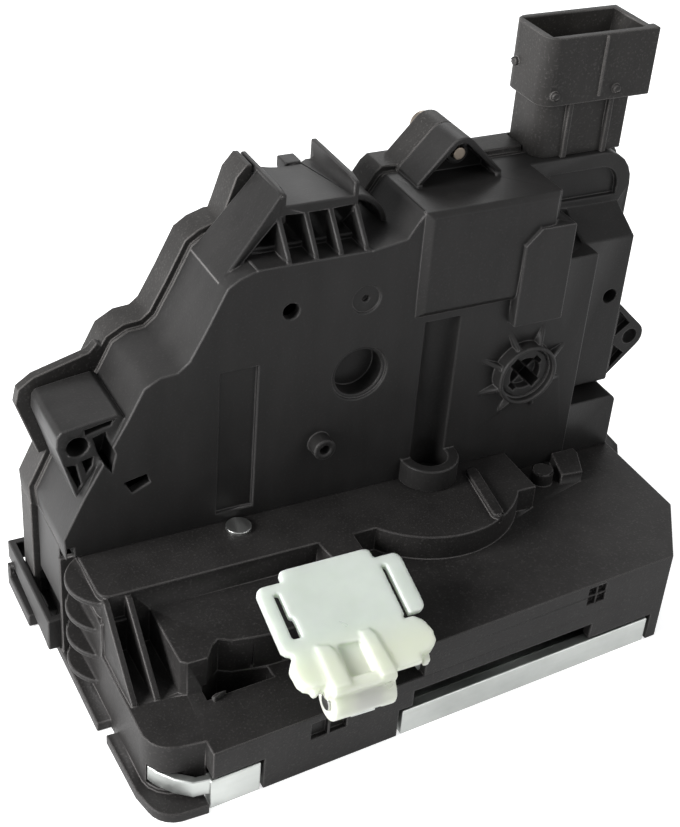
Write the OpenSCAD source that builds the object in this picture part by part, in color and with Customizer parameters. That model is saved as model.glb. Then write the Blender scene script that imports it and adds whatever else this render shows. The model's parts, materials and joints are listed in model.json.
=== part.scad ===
// Car door lock: latch base with a forked claw, an upright actuator housing and a plug socket on top.
// Millimetres. Origin at the rest point of the striker on the outer face of the steel plate.
// +X runs along the plate, +Y towards the inside of the car, +Z away from the door's shut face.

/* [Latch base] */
// Left edge of the base
base_left = -75.9; // [-80:0.1:-72]
// Right edge of the base
base_right = 50.8; // [48:0.1:56]
// Back edge of the base
base_back = 29; // [28:0.5:34]
// Front wall: y at x = 0
front_y0 = -40.9; // [-44:0.1:-39]
// Front wall: slope of y over x
front_slope = 0.0706; // [0.05:0.001:0.09]
// Height of the low level at the front left
level_a = 14.1; // [13.8:0.1:14.4]
// Height of the middle level
level_b = 22.1; // [21.6:0.1:23]
// Height of the shelf that carries the actuator housing
shelf_z = 27.75; // [26:0.05:30]
// Radius of the half disc in front of the housing
disc_r = 21.5; // [19:0.1:23]
// Wall thickness of the mouldings
wall = 2.2; // [1.8:0.1:2.4]
// Thickness of the foot ledge
ledge_t = 2.2; // [1.5:0.1:3]
// How far the foot ledge stands out of the wall
ledge_out = 2.9; // [2:0.1:3.5]

/* [Steel plate] */
// Thickness of the steel back plate
plate_t = 2.5; // [2:0.1:3]
// Height of the front flange
flange_h = 6.2; // [5:0.1:6.4]
// Width of the striker mouth
mouth_w = 15; // [14:0.1:16]
// Depth of the mouth in front of the striker's rest point
mouth_depth = 9; // [8:0.1:10]
// Height of the striker well above the plate's outer face
well_h = 20; // [18.5:0.1:20.5]
// Minor radius of the thread in the fixing bushes
thread_r = 2.5; // [2.4:0.05:3.4]
// Outer radius of the fixing bushes
bush_r = 5.5; // [5:0.1:6]
// Height of the fixing bushes
bush_h = 11; // [9:0.5:11.5]

/* [Claw and pawl] */
// Distance from the claw's pivot to the striker's rest point
claw_x = 18; // [17.5:0.1:19]
// Outer radius of the closing tine
tine_r = 24.5; // [24.2:0.1:24.8]
// Radius of the cam that the pawl rides on
cam_r = 24; // [23.6:0.1:24]
// Half width of the striker slot in the claw
slot_half = 5; // [4.8:0.1:5.2]
// Thickness of claw and pawl
claw_t = 5; // [4:0.1:5.2]
// Travel of the claw from open to closed, degrees
claw_travel = 58; // [56:0.5:58]
// Angle between the full notch and the half notch, degrees
half_notch = 30; // [29:0.5:31]
// Radius of the claw pin
claw_pin_r = 4; // [3.5:0.1:4.5]
// Radius of the pawl pin
pawl_pin_r = 3; // [2.5:0.1:3.4]
// Length from the pawl's pivot to its tip
pawl_len = 26; // [25.5:0.1:26.2]
// Direction of the full notch seen from the claw's pivot, degrees
notch_dir = 235; // [234:0.5:236]
// Lift of the pawl out of the notch, degrees
pawl_lift = 9; // [8.5:0.5:10]

/* [Release lever and clip] */
// Thickness of the release lever
lever_t = 2.5; // [2:0.1:2.5]
// Centre line height of the pin that carries the clip
clip_pin_z = 19.6; // [19.4:0.1:20.5]
// Centre line y of the pin that carries the clip
clip_pin_y = -46.2; // [-47.5:0.1:-46]
// Radius of the pin that carries the clip
clip_pin_r = 1.5; // [1.2:0.1:1.7]
// Middle of the clip along x
clip_mid = -36.6; // [-37:0.1:-36]
// Slope of the clip's plate, degrees
clip_slope = 20.4; // [18:0.2:24]
// Thickness of the clip's plate
clip_t = 1.8; // [1.5:0.1:2]

/* [Actuator housing] */
// Depth of the front cover
front_depth = 17.5; // [17:0.1:18.5]
// Depth of both shells together
total_depth = 25; // [24.6:0.1:26]
// Groove between the shells
seam = 0.9; // [0.5:0.1:1.2]
// How far the rear shell's rim stands out
rim_out = 1.3; // [0.8:0.1:1.5]
// Top of the housing
top_z = 90.6; // [90.4:0.1:91.5]
// Right edge of the front panel
panel_right = 37.4; // [36.5:0.1:38]
// Right edge of the plate behind the column
arch_right = 51.8; // [51:0.1:53]
// Front face of that plate
arch_y = 12; // [11.5:0.1:12.5]

/* [Key socket] */
// Centre of the key collar, x
key_x = 22.3; // [21.5:0.1:22.8]
// Centre of the key collar, z
key_z = 49.3; // [48.5:0.1:50]
// Outer radius of the key collar
key_r = 7; // [6.5:0.1:7.5]
// Radius of the hub's bore in the collar
hub_bore_r = 5.6; // [5.2:0.1:5.8]
// Half width of the cross slot in the hub
key_slot = 1.1; // [0.8:0.1:1.4]

/* [Locking drive] */
// Middle line of motor and worm, x
motor_x = 13; // [12.8:0.1:13.4]
// Middle line of motor and worm, y
motor_y = 11.6; // [11.4:0.1:11.8]
// Lower end of the motor
motor_z = 68.6; // [68.4:0.1:69]
// Teeth of the worm wheel
wheel_teeth = 26; // [24:2:28]
// Height of the worm wheel's axis
wheel_z = 54; // [53.5:0.1:54.5]
// Teeth of the pinion on the worm wheel
pinion_teeth = 10; // [10:1:11]
// Module of the pinion and the rack
rack_module = 1.2; // [1.1:0.05:1.25]

/* [Plug socket] */
// Width of the socket
plug_w = 25; // [24:0.1:26]
// Depth of the socket
plug_d = 14; // [13.5:0.1:14.5]
// Height of the socket
plug_h = 14.2; // [13:0.1:15]
// Left face of the socket
plug_x = 25.5; // [25:0.1:26]
// Front face of the socket
plug_y = 11.5; // [11:0.1:11.8]
// Height of the neck between housing and socket
neck_h = 12.2; // [11:0.1:13]
// Wall of the socket
plug_wall = 1.5; // [1.2:0.1:1.8]

/* [Fits] */
// Radial clearance of a running fit
fit = 0.05; // [0.03:0.01:0.08]
// Clearance between pieces that pass each other
gap = 0.3; // [0.25:0.05:0.4]

/* [Hidden] */
$fn = 48;
eps = 0.01;

function arc(c, r, a0, a1, n = 6) = [for (i = [0:n]) let (a = a0 + (a1 - a0) * i / n) c + r * [cos(a), sin(a)]];
function unit(v) = v / norm(v);
function left_of(v) = [-v.y, v.x];
function inset(p, d) = [for (i = [0:len(p) - 1])
    let (a = left_of(unit(p[i] - p[(i + len(p) - 1) % len(p)])), b = left_of(unit(p[(i + 1) % len(p)] - p[i])))
    p[i] + d * (a + b) / (1 + a * b)];
function front_y(x) = front_y0 + front_slope * x;

// A slab whose outline lies in x and z, between two values of y
module slab(y0, y1) {
    translate([0, y1, 0]) rotate([90, 0, 0]) linear_extrude(y1 - y0) children();
}
// A slab whose outline lies in x and y, between two heights
module layer(z0, z1) {
    translate([0, 0, z0]) linear_extrude(z1 - z0) children();
}
// A box between two corners
module block(a, b) {
    translate(a) cube(b - a);
}
// A cylinder along y
module rod_y(x, z, r, y0, y1) {
    translate([x, y1, z]) rotate([90, 0, 0]) cylinder(r = r, h = y1 - y0);
}
// A cylinder along z
module rod_z(x, y, r, z0, z1) {
    translate([x, y, z0]) cylinder(r = r, h = z1 - z0);
}
// A cylinder along x
module rod_x(y, z, r, x0, x1) {
    translate([x0, y, z]) rotate([0, 90, 0]) cylinder(r = r, h = x1 - x0);
}
// A coil of round wire around the z axis, starting at z = 0
module coil(r, wire_r, turns, pitch, sides = 8, steps = 20) {
    n = turns * steps;
    pts = [for (i = [0:n]) for (k = [0:sides - 1])
        let (a = 360 * i / steps, b = 360 * k / sides, q = r + wire_r * cos(b))
        [q * cos(a), q * sin(a), wire_r + pitch * i / steps + wire_r * sin(b)]];
    ring = [for (k = [0:sides - 1]) k];
    sides_f = [for (i = [0:n - 1]) for (k = [0:sides - 1])
        let (m = (k + 1) % sides)
        [i * sides + k, i * sides + m, (i + 1) * sides + m, (i + 1) * sides + k]];
    polyhedron(pts, concat([ring], sides_f, [[for (k = [sides - 1:-1:0]) n * sides + k]]));
}

// Levels inside the base
claw_z0 = plate_t + 0.6;
claw_z1 = claw_z0 + claw_t;
jacket_t = 0.7;
support_z0 = 12.2;
support_t = 1.5;
support_z1 = support_z0 + support_t;
lever_z0 = level_a + 0.9;
lever_z1 = lever_z0 + lever_t;
ceiling_a = level_a - wall;
ceiling_b = level_b - wall;
ceiling_s = shelf_z - wall;

// Pivots of claw and pawl
claw_c = [claw_x, 0];
notch_r = cam_r - 1.7;
tip_c = claw_c + notch_r * [cos(notch_dir), sin(notch_dir)];
pawl_c = tip_c + pawl_len * [-0.82, 0.572];
pawl_dir = atan2(tip_c.y - pawl_c.y, tip_c.x - pawl_c.x);
stud_back = 10;
stud_r = 2;

// Outlines of the base, anticlockwise
step_x = -65.7;
step_y = -41.9;
notch_x0 = -28;
notch_x1 = -23;
corner_x = 40.4;
corner_y = -23.1;
chamfer_y = -35.1;
left_corner = concat([[base_left, chamfer_y]], arc([base_left + 5.9, -35.6], 5.9, 187, 262, 4), [[step_x, step_y]]);
right_side = [[corner_x, front_y(corner_x)], [base_right, corner_y], [base_right, base_back]];
foot = concat([[base_left, base_back]], left_corner, [[step_x, front_y(step_x)]], right_side);
foot_plain = concat([[base_left, base_back], [base_left, chamfer_y], [base_left + 6.5, -41.4]],
    [[-64.5, front_y(-64.5)]], right_side);
block_b = concat([[notch_x1, base_back], [notch_x1, front_y(notch_x1)]], right_side);
tray_y = -28.2;
tray = [[step_x, base_back], [step_x, -28.6], [-64.6, -29.7], [-60.5, -29.7], [-58.4, -26.9],
    [-56.8, -25.7], [-54.5, -27], [-50.3, -27.8], [-46.8, tray_y], [notch_x1 + 1, tray_y],
    [notch_x1 + 1, base_back]];
shelf_left = base_left + 0.4;
shelf_y = -13;
tongue = concat([[-30.2, shelf_y], [-29.6, -17.6]], arc([-26, -17.2], 3.6, 190, 350, 6), [[-22.2, shelf_y]]);
shelf = concat([[shelf_left, base_back]], arc([shelf_left + 2.2, shelf_y + 2.2], 2.2, 180, 270, 3),
    tongue, [[disc_r, shelf_y], [disc_r, base_back]]);

// Fixing points: x and y
bushes = [[-58, 8], [-41, -34.3], [40.5, 8]];

// Places cut by the steel parts in the front wall
flange_x0 = -24.6;
flange_x1 = 37;
tab_x0 = -66.1;
tab_x1 = -55.7;
tab_h = 7.2;
slot_x0 = -22.3;
slot_x1 = 21;
slot_z1 = 10.9;

// A band that follows the front wall, t deep
module front_band(x0, x1, z0, z1, t, out = 0) {
    layer(z0, z1) polygon([[x0, front_y(x0) - out], [x1, front_y(x1) - out], [x1, front_y(x1) + t],
        [x0, front_y(x0) + t]]);
}

module plate_outline() {
    difference() {
        polygon(inset(foot_plain, wall + 0.5));
        translate([-mouth_w / 2, 0]) square([mouth_w, base_back + 10]);
        intersection() {
            translate([-mouth_w / 2, -mouth_depth]) square([mouth_w, mouth_depth + 1]);
            circle(r = mouth_depth);
        }
        polygon([[-mouth_w / 2 - 5, base_back], [-mouth_w / 2, base_back - 12], [mouth_w / 2, base_back - 12],
            [mouth_w / 2 + 5, base_back]]);
        translate(claw_c) circle(r = claw_pin_r - 1 + fit);
        translate(pawl_c) circle(r = pawl_pin_r - 0.5 + fit);
        for (b = bushes) translate(b) circle(r = bush_r - 1.5 + fit);
    }
}

strap_t = 1.8;
strap_path = [[tab_x0 + 1.2, front_y(tab_x0) + 0.5], [-69.2, -44.6], [-72, -42.4], [-74.4, -39.4], [-75.4, -37.2]];
module backplate() {
    color("silver") {
        layer(0, plate_t) plate_outline();
        front_band(flange_x0, flange_x1, 0, flange_h, plate_t);
        front_band(flange_x0 + 1, flange_x1 - 1, 0, plate_t, wall + 1.3, -1);
        front_band(tab_x0, tab_x1, 0, tab_h, plate_t);
        front_band(tab_x0 + 1, tab_x1 - 1, 0, plate_t, wall + 1.3, -1);
        layer(3.4, tab_h) strap_outline(0);
    }
}
module strap_outline(d) {
    across = [0.62, 0.78];
    polygon(concat([for (q = strap_path) q - d * across],
        [for (i = [len(strap_path) - 1:-1:0]) strap_path[i] + (strap_t + d) * across]));
}

module fixing_bushes() {
    color("lightgray") for (b = bushes) translate(b) difference() {
        union() {
            cylinder(r = bush_r - 1.5, h = plate_t + eps);
            translate([0, 0, plate_t]) cylinder(r = bush_r, h = bush_h - plate_t);
        }
        translate([0, 0, -1]) cylinder(r = thread_r, h = bush_h + 2);
    }
}

// Pocket behind the front strip of the low level
pocket = [[-61.5, -32.3], [-47.5, -31.4], [-47.5, -28.4], [-50.3, -27.9], [-54.5, -27.1], [-56.8, -25.8],
    [-58.4, -27], [-61.5, -29.6]];
pocket_z = 4.6;

module base_solid() {
    layer(0, level_a) polygon(foot);
    layer(0, level_b) polygon(block_b);
    layer(0, level_b) polygon(tray);
    layer(0, shelf_z) polygon(shelf);
    rod_z(0, 0, disc_r, 0, shelf_z);
    block([base_left, shelf_y - 1, 0], [shelf_left + 5, base_back, level_b]);
    // Foot ledge along the left wall and round the front corner
    block([base_left - ledge_out, -19.3, 0], [base_left + 1, 11, ledge_t]);
    layer(0, ledge_t) polygon(concat([[base_left + 1, -22.7], [base_left - ledge_out + 0.6, -22.7]],
        [[base_left - ledge_out + 1, -38]], arc([base_left + 4.3, -41], 5.4, 190, 265, 5),
        [[step_x - 0.6, front_y(step_x) - 0.9], [step_x - 0.6, step_y]]));
    // Half-moon ribs on the left wall
    for (k = [0:3]) layer(5.2 + 6.7 * k, 6.3 + 6.7 * k) intersection() {
        translate([base_left + 4.6, -5.5]) circle(r = 8.4);
        translate([base_left - 5, -16]) square([6.5, 21]);
    }
    block([base_left - 2.6, 2.2, ledge_t - eps], [base_left + 1, 3.4, 26.4]);
    // Radial rib on the disc
    rib_dir = [-0.16, -0.987];
    hull() {
        rod_z(10.6, -4.5, 1.3, shelf_z - 1, shelf_z + 1.1);
        translate([10.6, -4.5, shelf_z - 1] + 14.3 * [rib_dir.x, rib_dir.y, 0]) cylinder(r = 1.3, h = 2.1);
    }
    // Fins between the shelf wall and the low level
    for (x = [base_left + 1.3, base_left + 5.8]) hull() {
        block([x - 0.6, shelf_y - 1, level_a - 1], [x + 0.6, shelf_y + 0.5, shelf_z - 0.6]);
        block([x - 0.6, -29, level_a - 1], [x + 0.6, shelf_y, level_a + 0.4]);
    }
    // Slanted fin in front of the tray
    layer(level_a - 1, level_a + 1) polygon([[-60.9, -32.7], [-60.6, -33.5], [-50.1, -28.6], [-50.4, -27.6]]);
    // Lug on the right wall
    slab(4, 5.8) polygon([[base_right - 0.5, 9], [56.6, 12], [57.3, 15.3], [56.5, 18.3], [53, level_b],
        [base_right - 0.5, level_b]]);
    // Small round boss in the notch of the front wall
    rod_z((notch_x0 + notch_x1) / 2, front_y(notch_x1) + 3.2, 2.1, level_a - 1, level_a + 0.5);
    // Wedge-shaped catch and hook on the middle level, right
    layer(level_b - 1, level_b + 2.6) polygon([[31.7, -8.2], [36.8, -8.8], [39.8, -2.3], [39.8, -0.4], [34, -0.4]]);
    rod_z(28.5, -5.4, 2.4, level_b - 1, level_b + 3);
}

// Room inside the base, below each level
module base_room() {
    layer(-1, ceiling_a) polygon(inset(foot_plain, wall));
    layer(-1, ceiling_b) polygon(inset(block_b, wall));
    layer(-1, ceiling_b) polygon([[step_x + wall, base_back - wall], [step_x + wall, tray_y + 5],
        [-55, tray_y + 5], [-50, tray_y + wall], [notch_x1 + wall + 2, tray_y + wall],
        [notch_x1 + wall + 2, base_back - wall]]);
    layer(-1, ceiling_s) polygon([[shelf_left + wall, base_back - wall], [shelf_left + wall, shelf_y + wall],
        [disc_r - wall, shelf_y + wall], [disc_r - wall, base_back - wall]]);
}

// Posts and walls inside the base
post_r = 3;
posts = [[-13, -31.5], [27, -28.5], [28, 14]];
module base_inside() {
    for (p = posts) rod_z(p.x, p.y, post_r, support_z1, level_b - 1);
    rod_z(pawl_c.x, pawl_c.y, pawl_pin_r + 2, lever_z1 + 0.2, shelf_z - 1);
    // Walls of the striker well
    layer(support_z1 + gap, shelf_z - 1) difference() {
        translate([-mouth_w / 2 - 1.8, -mouth_depth - 1.8]) square([mouth_w + 3.6, base_back + mouth_depth + 1.8]);
        translate([-mouth_w / 2, -mouth_depth + 2]) square([mouth_w, base_back + mouth_depth]);
        circle(r = mouth_w / 2);
    }
    layer(well_h, shelf_z - 1) translate([-mouth_w / 2 - 1, -mouth_depth - 1])
        square([mouth_w + 2, base_back + mouth_depth + 0.9]);
    layer(plate_t, ceiling_a + 1) polygon(inset(pocket, -1.4));
}

lever_slot_x0 = -44;
module latch_housing() {
    color([0.09, 0.085, 0.08]) difference() {
        union() {
            difference() {
                base_solid();
                base_room();
            }
            intersection() {
                base_inside();
                layer(-1, shelf_z) polygon(inset(foot_plain, wall / 2));
            }
        }
        // Striker mouth through the back wall and the skirt
        block([-mouth_w / 2, 8, -1], [mouth_w / 2, base_back + 5, well_h]);
        layer(-1, well_h) polygon([[-mouth_w / 2 - 5, base_back + 1], [-mouth_w / 2, base_back - 12],
            [mouth_w / 2, base_back - 12], [mouth_w / 2 + 5, base_back + 1]]);
        layer(support_z1, well_h) circle(r = mouth_w / 2);
        // Room round the bushes and seat of the pawl pin
        for (b = bushes) translate([b.x, b.y, -1]) linear_extrude(bush_h + gap + 1)
            square(2 * (bush_r + gap), center = true);
        rod_z(pawl_c.x, pawl_c.y, pawl_pin_r + fit, -1, shelf_z - 4);
        // Way of the release lever through the wall of the tray
        block([lever_slot_x0, tray_y - 3, lever_z0 - 0.5],
            [notch_x1 + wall + 2.2, tray_y + wall + 0.5, lever_z1 + 0.6]);
        block([notch_x0, front_y(0) - 8, level_a], [notch_x1 + 2.5, tray_y + 1, lever_z1 + 0.6]);
        // Front wall: room for the steel flange, the tab and the strap, and the long slot
        front_band(flange_x0 - 0.8, flange_x1 + 0.8, -1, flange_h + 0.7, wall + 1.4, 3);
        front_band(slot_x0, slot_x1, -1, slot_z1, wall + 1.4, 3);
        front_band(tab_x0 - 0.4, tab_x1 + 0.6, -1, tab_h + 0.5, wall + 1.4, 3);
        layer(3.4 - gap, tab_h + gap) strap_outline(0.5);
        // Double slot and the four vents
        front_band(-45.2, -41.7, 8.2, 12.3, 1.2, 3);
        front_band(-41.1, -37.6, 8.2, 12.3, 1.2, 3);
        for (i = [0, 1]) for (k = [0, 1])
            front_band(18.6 + 2.4 * i, 20.6 + 2.4 * i, 16.8 + 2.4 * k, 18.8 + 2.4 * k, 1.2, 3);
        layer(pocket_z, level_a + 1) polygon(pocket);
        // Rivet seat, hole of the slider's foot, window of the cable bracket
        rod_z(rivet.x, rivet.y, 1.6, ceiling_s - 1, shelf_z + 1);
        block([slider_x - 4, slider_y0 - 1, ceiling_s - 1], [slider_x + 4, slider_y1 + 1, shelf_z + 1]);
        block([base_left - 5, 20, 3], [base_left + wall + 0.1, 24, 7]);
    }
}

// Steel plate that holds the upper ends of the pins, with a lip bent down behind the long slot
module support_plate() {
    color("gray") difference() {
        union() {
            layer(support_z0, support_z1) polygon([[-20, -35.5], [19, -32.8], [31, -32], [32.4, -20], [32.4, 17],
                [14, 17], [10.2, 8], [10.2, -11.4], [-10, -11.4], [-10.4, 1.2], [-20.4, 1.2]]);
            layer(7.2, support_z1) polygon([[-20, -35.5], [19, -32.8], [19, -31.3], [-20, -34]]);
        }
        rod_z(claw_c.x, claw_c.y, claw_pin_r - 1 + fit, support_z0 - 1, support_z1 + 1);
        rod_z(pawl_c.x, pawl_c.y, pawl_pin_r + fit, support_z0 - 1, support_z1 + 1);
    }
}

// Claw seen from above in the closed position, its pivot at the origin
module notch_cut(width = 6.9) {
    translate(pawl_c - claw_c) rotate(pawl_dir) intersection() {
        difference() {
            circle(r = pawl_len + 0.15);
            circle(r = pawl_len - width);
        }
        translate([pawl_len - 10, -8]) square([12, 10.1]);
    }
}
module claw_outline(trim = 0) {
    difference() {
        union() {
            circle(r = 12 - trim);
            intersection() {
                circle(r = cam_r - trim);
                polygon([[4, 2], [-30, 2], [-30, -30], [11, -30], [11.4, -18], [10, -6]]);
            }
            intersection() {
                circle(r = tine_r - trim);
                polygon([[-2, -1], [-30, -1], [-30, 12.4 - trim], [-12, 13.8 - trim], [-2, 12.2 - trim]]);
            }
        }
        hull() {
            translate([-claw_x, 0]) circle(r = slot_half + trim);
            translate([-claw_x - 14, 0]) circle(r = slot_half + trim + 0.8);
        }
        for (a = [0, half_notch]) rotate(a) notch_cut();
        rotate(claw_travel) notch_cut(8.4);
    }
}
module claw() {
    color("silver") difference() {
        translate([0, 0, claw_z0]) claw_at_rest() linear_extrude(claw_t) claw_outline();
        rod_z(claw_c.x, claw_c.y, claw_pin_r + fit, 0, claw_z1 + 1);
    }
}
module claw_at_rest() {
    translate([claw_c.x, claw_c.y, 0]) rotate([0, 0, -claw_travel]) children();
}
module claw_jacket() {
    color([0.15, 0.15, 0.16]) difference() {
        translate([0, 0, claw_z1]) claw_at_rest() linear_extrude(jacket_t) claw_outline(0.8);
        rod_z(claw_c.x, claw_c.y, claw_pin_r + 0.4, 0, claw_z1 + 3);
    }
}
module claw_pin() {
    color("lightgray") {
        rod_z(claw_c.x, claw_c.y, claw_pin_r - 1, 0, support_z1);
        rod_z(claw_c.x, claw_c.y, claw_pin_r + 2, plate_t, claw_z0 - 0.1);
        rod_z(claw_c.x, claw_c.y, claw_pin_r, plate_t, support_z0);
    }
}
module claw_spring() {
    color("dimgray") translate([claw_c.x, claw_c.y, claw_z1 + jacket_t]) {
        coil(claw_pin_r + 1.4, 0.45, 2, 1.05);
        translate([claw_pin_r + 1.4, -0.1, 0.45]) rotate([90, 0, 0]) cylinder(r = 0.42, h = 5, $fn = 16);
    }
}

// Pawl seen from above in the engaged position, its pivot at the origin and its tip on +x
module pawl_outline() {
    difference() {
        union() {
            circle(r = 6);
            polygon([[-2, -6], [12, -8.6], [24.5, -7.4], [pawl_len, -5], [pawl_len, -2.4], [18, -2.5], [8, -1.6],
                [4, 4]]);
            intersection() {
                circle(r = pawl_len);
                translate([pawl_len - 6.2, -5]) square([8, 6.5]);
            }
            polygon([[-3, 4.4], [-stud_back, 3.2], [-stud_back, -3.2], [-3, -4.4]]);
            translate([-stud_back, 0]) circle(r = 3.2);
        }
        translate([pawl_len, -5.8]) circle(r = 0.6);
    }
}
module pawl_at_rest() {
    translate([pawl_c.x, pawl_c.y, 0]) rotate([0, 0, pawl_dir - pawl_lift]) children();
}
module pawl() {
    color("silver") difference() {
        pawl_at_rest() {
            layer(claw_z0, claw_z1) pawl_outline();
            rod_z(-stud_back, 0, stud_r, claw_z1 - 1, lever_z1 - 0.2);
        }
        rod_z(pawl_c.x, pawl_c.y, pawl_pin_r + 0.5 + fit, 0, claw_z1 + 1);
    }
}
module pawl_pin() {
    color("lightgray") {
        rod_z(pawl_c.x, pawl_c.y, pawl_pin_r - 0.5, 0, plate_t + 1);
        rod_z(pawl_c.x, pawl_c.y, pawl_pin_r + 2, plate_t, claw_z0 - 0.1);
        rod_z(pawl_c.x, pawl_c.y, pawl_pin_r + 0.5, plate_t, support_z0);
        rod_z(pawl_c.x, pawl_c.y, pawl_pin_r, plate_t, shelf_z - 4.2);
    }
}
module pawl_spring() {
    color("dimgray") translate([pawl_c.x, pawl_c.y, claw_z1 + 0.1]) {
        coil(pawl_pin_r + 1.6, 0.45, 3, 1.05);
        translate([pawl_pin_r + 1.6, -0.1, 0.45]) rotate([90, 0, 0]) cylinder(r = 0.42, h = 3.6, $fn = 16);
    }
}

module striker_buffer() {
    color([0.05, 0.05, 0.05]) layer(support_z1 + gap, well_h - 0.2) intersection() {
        difference() {
            circle(r = mouth_w / 2);
            translate([0, 2.6]) circle(r = mouth_w / 2);
        }
        translate([-5, -mouth_w / 2 - 1]) square([10, 6]);
    }
}

// Release lever of the outside handle, seen from above at rest
eye_x = clip_mid;
eye_w = 5;
eye_r = clip_pin_r + 1.5;
arm_w = 8;
lever_tip = [eye_x, clip_pin_y];
lever_dir = unit(lever_tip - pawl_c);
module release_lever() {
    side = arm_w / 2 * [-lever_dir.y, lever_dir.x];
    neck = lever_tip - 8.5 * lever_dir;
    stud_dir = [cos(pawl_dir), sin(pawl_dir)];
    stud_side = [-stud_dir.y, stud_dir.x];
    finger = pawl_c - stud_back * stud_dir - (stud_r + gap) * stud_side;
    color([0.62, 0.63, 0.63]) difference() {
        union() {
            layer(lever_z0, lever_z1) {
                translate(pawl_c) circle(r = 6.4);
                polygon([pawl_c + side, neck + 0.7 * side, lever_tip + [eye_w / 2, 5], lever_tip + [eye_w / 2, 0],
                    lever_tip - [eye_w / 2, 0], lever_tip + [-eye_w / 2, 5], neck - 0.7 * side, pawl_c - side]);
                polygon([pawl_c - (stud_r + gap) * stud_side, finger - 3 * stud_dir,
                    finger - 3 * stud_dir - 3.4 * stud_side, pawl_c - 5.6 * stud_side]);
            }
            // Eye curled up around the clip pin
            rod_x(clip_pin_y, clip_pin_z, eye_r, eye_x - eye_w / 2, eye_x + eye_w / 2);
            block([eye_x - eye_w / 2, clip_pin_y - 1.2, lever_z0],
                [eye_x + eye_w / 2, clip_pin_y + 1.2, clip_pin_z - 2]);
        }
        rod_z(pawl_c.x, pawl_c.y, pawl_pin_r + fit, lever_z0 - 1, lever_z1 + 1);
        rod_x(clip_pin_y, clip_pin_z, clip_pin_r + fit, eye_x - 10, eye_x + 10);
    }
}

// White clip on the eye: barrel, slotted plate with two wings, and side hooks
barrel_r = 4.4;
barrel_x0 = clip_mid - 7.3;
barrel_x1 = clip_mid + 5.6;
module clip_frame() {
    translate([0, clip_pin_y, clip_pin_z]) rotate([clip_slope, 0, 0]) children();
}
module clip_pin() {
    color("silver") rod_x(clip_pin_y, clip_pin_z, clip_pin_r, barrel_x0 - 0.3, barrel_x1);
}
module rod_clip() {
    plate_y = 24.4;
    top = 5.9;
    low = top - clip_t;
    xl = -50.3;
    xr = -19.7;
    color([0.9, 0.95, 0.92]) difference() {
        union() {
            rod_x(clip_pin_y, clip_pin_z, barrel_r, barrel_x0, barrel_x1);
            clip_frame() {
                // Main plate with its two wings
                layer(low, top) polygon([[-44.6, 0], [-44.6, plate_y], [-43.6, plate_y + 1], [-26.2, plate_y + 1],
                    [-25.2, plate_y], [-25.2, 0]]);
                layer(low, top) polygon([[xl + 1.2, plate_y - 1.4], [xl, plate_y - 2.8], [xl, 9.4], [xl + 1.4, 8.4],
                    [-44, 8.4], [-44, plate_y - 1.4]]);
                layer(low, top) polygon([[xr - 1.2, plate_y - 1.4], [xr, plate_y - 2.8], [xr, 9.4], [xr - 1.4, 8.4],
                    [-26, 8.4], [-26, plate_y - 1.4]]);
                // Lower body and its side hooks
                layer(0.2, top) polygon([[barrel_x0, -2], [barrel_x0, 12], [barrel_x1, 12], [barrel_x1, -2]]);
                for (s = [[-50, -45.4], [-26.6, -20.6]]) layer(low - 1.6, top)
                    polygon([[s.x, 8], [s.x, 2.6], [s.x + 1.4, 0.8], [s.y - 1.2, 0.8], [s.y, 2.4], [s.y, 8]]);
                layer(low - 1.6, low + 1) polygon([[-46, 0.8], [-46, 8], [-26, 8], [-26, 0.8]]);
                // Raised middle ridge
                layer(top - 0.5, top + 0.5) polygon([[-38.8, 0], [-38.2, 8.6], [-33, 8.6], [-34, 0]]);
            }
        }
        // Slots between the wings and the plate
        clip_frame() {
            block([-47.2, 11.2, low - 1], [-46.1, plate_y - 3.4, top + 1]);
            block([-46.6, 11.2, low - 1], [-45.4, 15.4, top + 1]);
            block([-24.5, 9.2, low - 1], [-23.6, plate_y - 3.4, top + 1]);
        }
        // Window for the eye of the lever, open to below
        block([eye_x - eye_w / 2 - gap, clip_pin_y - 8, lever_z0 - 4],
            [eye_x + eye_w / 2 + gap, clip_pin_y + 6.4, clip_pin_z + eye_r + gap]);
        rod_x(clip_pin_y, clip_pin_z, clip_pin_r + fit, barrel_x0 - 1, barrel_x1 + 1);
    }
}

// Loop bracket for the inside handle's cable, clipped to the left wall
module cable_bracket() {
    t = 1.5;
    x0 = base_left - 5.2;
    color([0.1, 0.1, 0.1]) {
        // Upper loop
        slabx(x0, x0 + t) polygon([[3.4, 2.4], [29, 5.4], [31.4, 5.4], [31.4, 10], [3.4, 10]]);
        block([x0, 3.4, 2.4], [base_left, 5.2, 10]);
        block([x0, 29.8, 5.4], [base_left + 1, 31.4, 10]);
        block([base_left - 0.6, base_back, 3.4], [base_left + 1, 31.4, 10]);
        // Lower loop and the foot that snaps into the wall
        block([x0 - 1, 14, 0.2], [x0 + 0.6, 29, 3.2]);
        block([x0 - 1, 14, 0.2], [base_left, 15.6, 3.2]);
        block([x0 - 1, 27.4, 0.2], [x0 + t, 29, 6]);
        block([base_left - 1.6, 20.3, 0.2], [base_left, 23.7, 6.7]);
        block([base_left - 1.6, 14, 0.2], [base_left, 23.7, 3.2]);
        block([base_left - 1, 20.3, 3.3], [base_left + wall, 23.7, 6.7]);
    }
}
// A slab whose outline lies in y and z, between two values of x
module slabx(x0, x1) {
    translate([x0, 0, 0]) rotate([90, 0, 90]) linear_extrude(x1 - x0) children();
}

rivet = [-43, -2.9];
module shelf_rivet() {
    color("silver") {
        rod_z(rivet.x, rivet.y, 1.5, ceiling_s, shelf_z + 0.5);
        rod_z(rivet.x, rivet.y, 2.6, shelf_z, shelf_z + 0.7);
    }
}

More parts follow.
